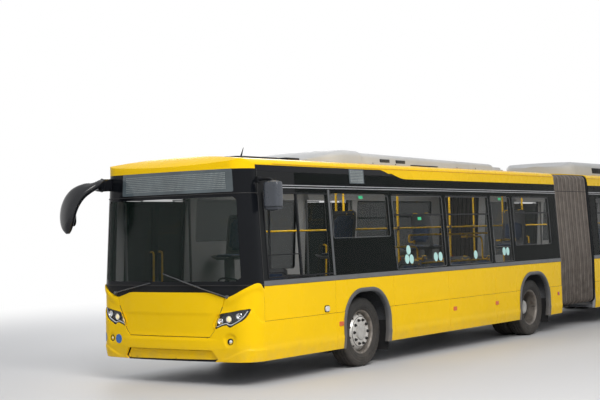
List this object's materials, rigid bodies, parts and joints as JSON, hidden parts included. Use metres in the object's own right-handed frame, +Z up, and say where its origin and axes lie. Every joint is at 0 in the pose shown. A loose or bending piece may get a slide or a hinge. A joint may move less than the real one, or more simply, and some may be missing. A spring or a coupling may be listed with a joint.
{
  "type": "articulated city bus",
  "caption": "Articulated low-floor city bus with a steered front axle, turning wheels, gliding doors, a bellows joint and a rear car",
  "frame": {"origin": "On the ground below the middle of the bus, half way from the mirror's tip to the tail", "axes": "+X to the bus's left (driver's side), +Y rearward, +Z up"},
  "size_m": [3.0549, 18.5093, 3.12],
  "materials": {
    "paint_yellow": "glossy body paint",
    "paint_white": "satin",
    "black_band": "gloss black",
    "glass": "tinted",
    "lamp": "clear lens",
    "tail_lamp": "lens",
    "rubber": "matt",
    "bellows": "coated cloth",
    "tyre": "matt",
    "steel": "worn silver",
    "iron": "rough",
    "seat": "plush",
    "rail": "gloss",
    "floor": "speckled sheet",
    "trim": "grained"
  },
  "bodies": {
    "front_car": {"front_mask": "paint_yellow", "headlamps": "lamp", "windscreen": "glass", "front_sign": "black_band", "left_wall_front": "paint_yellow", "right_wall_front": "paint_yellow", "windows_front": "glass", "roof_front": "paint_yellow", "floor_front": "floor", "wheel_boxes_front": "floor", "dashboard": "trim", "seats_front": "seat", "rails_front": "rail", "roof_pod_front": "paint_white", "front_axles": "iron", "bellows": "bellows", "drawbar": "iron", "wipers": "rubber", "mirrors": "trim"},
    "rear_car": {"left_wall_rear": "paint_yellow", "right_wall_rear": "paint_yellow", "windows_rear": "glass", "roof_rear": "paint_yellow", "rear_wall": "paint_yellow", "tail_lamps": "tail_lamp", "floor_rear": "floor", "seats_rear": "seat", "rails_rear": "rail", "roof_pod_rear": "paint_white", "rear_axle": "iron", "turntable": "iron", "engine": "iron"},
    "front_flap": {"front_flap": "paint_yellow"},
    "engine_lid": {"engine_lid": "paint_yellow"},
    "knuckle_left": {"knuckle_left": "iron"},
    "knuckle_right": {"knuckle_right": "iron"},
    "wheel_front_left": {"tyre_front_left": "tyre", "rim_front_left": "steel"},
    "wheel_front_right": {"tyre_front_right": "tyre", "rim_front_right": "steel"},
    "wheel_middle_left": {"tyre_middle_left": "tyre", "rim_middle_left": "steel"},
    "wheel_middle_right": {"tyre_middle_right": "tyre", "rim_middle_right": "steel"},
    "wheel_rear_left": {"tyre_rear_left": "tyre", "rim_rear_left": "steel"},
    "wheel_rear_right": {"tyre_rear_right": "tyre", "rim_rear_right": "steel"},
    "door_1_arm_a": {"door_1_arm_a": "trim"},
    "door_1_leaf_a": {"door_1_leaf_a": "paint_yellow"},
    "door_1_arm_b": {"door_1_arm_b": "trim"},
    "door_1_leaf_b": {"door_1_leaf_b": "paint_yellow"},
    "door_2_arm_a": {"door_2_arm_a": "trim"},
    "door_2_leaf_a": {"door_2_leaf_a": "paint_yellow"},
    "door_2_arm_b": {"door_2_arm_b": "trim"},
    "door_2_leaf_b": {"door_2_leaf_b": "paint_yellow"},
    "door_3_arm_a": {"door_3_arm_a": "trim"},
    "door_3_leaf_a": {"door_3_leaf_a": "paint_yellow"},
    "door_3_arm_b": {"door_3_arm_b": "trim"},
    "door_3_leaf_b": {"door_3_leaf_b": "paint_yellow"}
  },
  "joints": [
    {"name": "steer_left", "type": "hinge", "parent": "front_car", "child": "knuckle_left", "pos_m": [0.88, -6.04, 0.479], "axis": [0, 0, 1], "range_deg": [-45, 45]},
    {"name": "steer_right", "type": "hinge", "parent": "front_car", "child": "knuckle_right", "pos_m": [-0.88, -6.04, 0.479], "axis": [0, 0, 1], "range_deg": [-45, 45]},
    {"name": "articulation", "type": "hinge", "parent": "front_car", "child": "rear_car", "pos_m": [0, 1.2085, 0.33], "axis": [0, 0, 1], "range_deg": [-50, 50], "deforming": ["bellows"]},
    {"name": "spin_front_left", "type": "hinge", "parent": "knuckle_left", "child": "wheel_front_left", "pos_m": [1.05, -6.04, 0.479], "axis": [1, 0, 0], "continuous": true},
    {"name": "spin_front_right", "type": "hinge", "parent": "knuckle_right", "child": "wheel_front_right", "pos_m": [-1.05, -6.04, 0.479], "axis": [1, 0, 0], "continuous": true},
    {"name": "spin_middle_left", "type": "hinge", "parent": "front_car", "child": "wheel_middle_left", "pos_m": [0.905, -0.675, 0.479], "axis": [1, 0, 0], "continuous": true},
    {"name": "spin_middle_right", "type": "hinge", "parent": "front_car", "child": "wheel_middle_right", "pos_m": [-0.905, -0.675, 0.479], "axis": [1, 0, 0], "continuous": true},
    {"name": "spin_rear_left", "type": "hinge", "parent": "rear_car", "child": "wheel_rear_left", "pos_m": [0.905, 6.085, 0.479], "axis": [1, 0, 0], "continuous": true},
    {"name": "spin_rear_right", "type": "hinge", "parent": "rear_car", "child": "wheel_rear_right", "pos_m": [-0.905, 6.085, 0.479], "axis": [1, 0, 0], "continuous": true},
    {"name": "door_1_post_a", "type": "hinge", "parent": "front_car", "child": "door_1_arm_a", "pos_m": [-1.125, -8.285, 1.38], "axis": [0, 0, -1], "range_deg": [0, 73]},
    {"name": "door_1_pin_a", "type": "hinge", "parent": "door_1_arm_a", "child": "door_1_leaf_a", "pos_m": [-1.125, -7.954, 1.38], "axis": [0, 0, 1], "range_deg": [0, 146]},
    {"name": "door_1_post_b", "type": "hinge", "parent": "front_car", "child": "door_1_arm_b", "pos_m": [-1.125, -6.955, 1.38], "axis": [0, 0, 1], "range_deg": [0, 73]},
    {"name": "door_1_pin_b", "type": "hinge", "parent": "door_1_arm_b", "child": "door_1_leaf_b", "pos_m": [-1.125, -7.286, 1.38], "axis": [0, 0, -1], "range_deg": [0, 146]},
    {"name": "door_2_post_a", "type": "hinge", "parent": "front_car", "child": "door_2_arm_a", "pos_m": [-1.125, -4.035, 1.38], "axis": [0, 0, -1], "range_deg": [0, 73]},
    {"name": "door_2_pin_a", "type": "hinge", "parent": "door_2_arm_a", "child": "door_2_leaf_a", "pos_m": [-1.125, -3.704, 1.38], "axis": [0, 0, 1], "range_deg": [0, 146]},
    {"name": "door_2_post_b", "type": "hinge", "parent": "front_car", "child": "door_2_arm_b", "pos_m": [-1.125, -2.705, 1.38], "axis": [0, 0, 1], "range_deg": [0, 73]},
    {"name": "door_2_pin_b", "type": "hinge", "parent": "door_2_arm_b", "child": "door_2_leaf_b", "pos_m": [-1.125, -3.036, 1.38], "axis": [0, 0, -1], "range_deg": [0, 146]},
    {"name": "door_3_post_a", "type": "hinge", "parent": "rear_car", "child": "door_3_arm_a", "pos_m": [-1.125, 3.515, 1.38], "axis": [0, 0, -1], "range_deg": [0, 73]},
    {"name": "door_3_pin_a", "type": "hinge", "parent": "door_3_arm_a", "child": "door_3_leaf_a", "pos_m": [-1.125, 3.846, 1.38], "axis": [0, 0, 1], "range_deg": [0, 146]},
    {"name": "door_3_post_b", "type": "hinge", "parent": "rear_car", "child": "door_3_arm_b", "pos_m": [-1.125, 4.845, 1.38], "axis": [0, 0, 1], "range_deg": [0, 73]},
    {"name": "door_3_pin_b", "type": "hinge", "parent": "door_3_arm_b", "child": "door_3_leaf_b", "pos_m": [-1.125, 4.514, 1.38], "axis": [0, 0, -1], "range_deg": [0, 146]},
    {"name": "flap_hinge", "type": "hinge", "parent": "front_car", "child": "front_flap", "pos_m": [0, -8.745, 1.155], "axis": [-1, 0, 0], "range_deg": [0, 80]},
    {"name": "lid_hinge", "type": "hinge", "parent": "rear_car", "child": "engine_lid", "pos_m": [0, 9.245, 1.325], "axis": [1, 0, 0], "range_deg": [0, 80]}
  ],
  "couplings": [
    {"joint": "steer_right", "follows": "steer_left", "ratio": 1},
    {"joint": "door_1_pin_a", "follows": "door_1_post_a", "ratio": 2},
    {"joint": "door_1_post_b", "follows": "door_1_post_a", "ratio": 1},
    {"joint": "door_1_pin_b", "follows": "door_1_post_a", "ratio": 2},
    {"joint": "door_2_pin_a", "follows": "door_2_post_a", "ratio": 2},
    {"joint": "door_2_post_b", "follows": "door_2_post_a", "ratio": 1},
    {"joint": "door_2_pin_b", "follows": "door_2_post_a", "ratio": 2},
    {"joint": "door_3_pin_a", "follows": "door_3_post_a", "ratio": 2},
    {"joint": "door_3_post_b", "follows": "door_3_post_a", "ratio": 1},
    {"joint": "door_3_pin_b", "follows": "door_3_post_a", "ratio": 2}
  ]
}
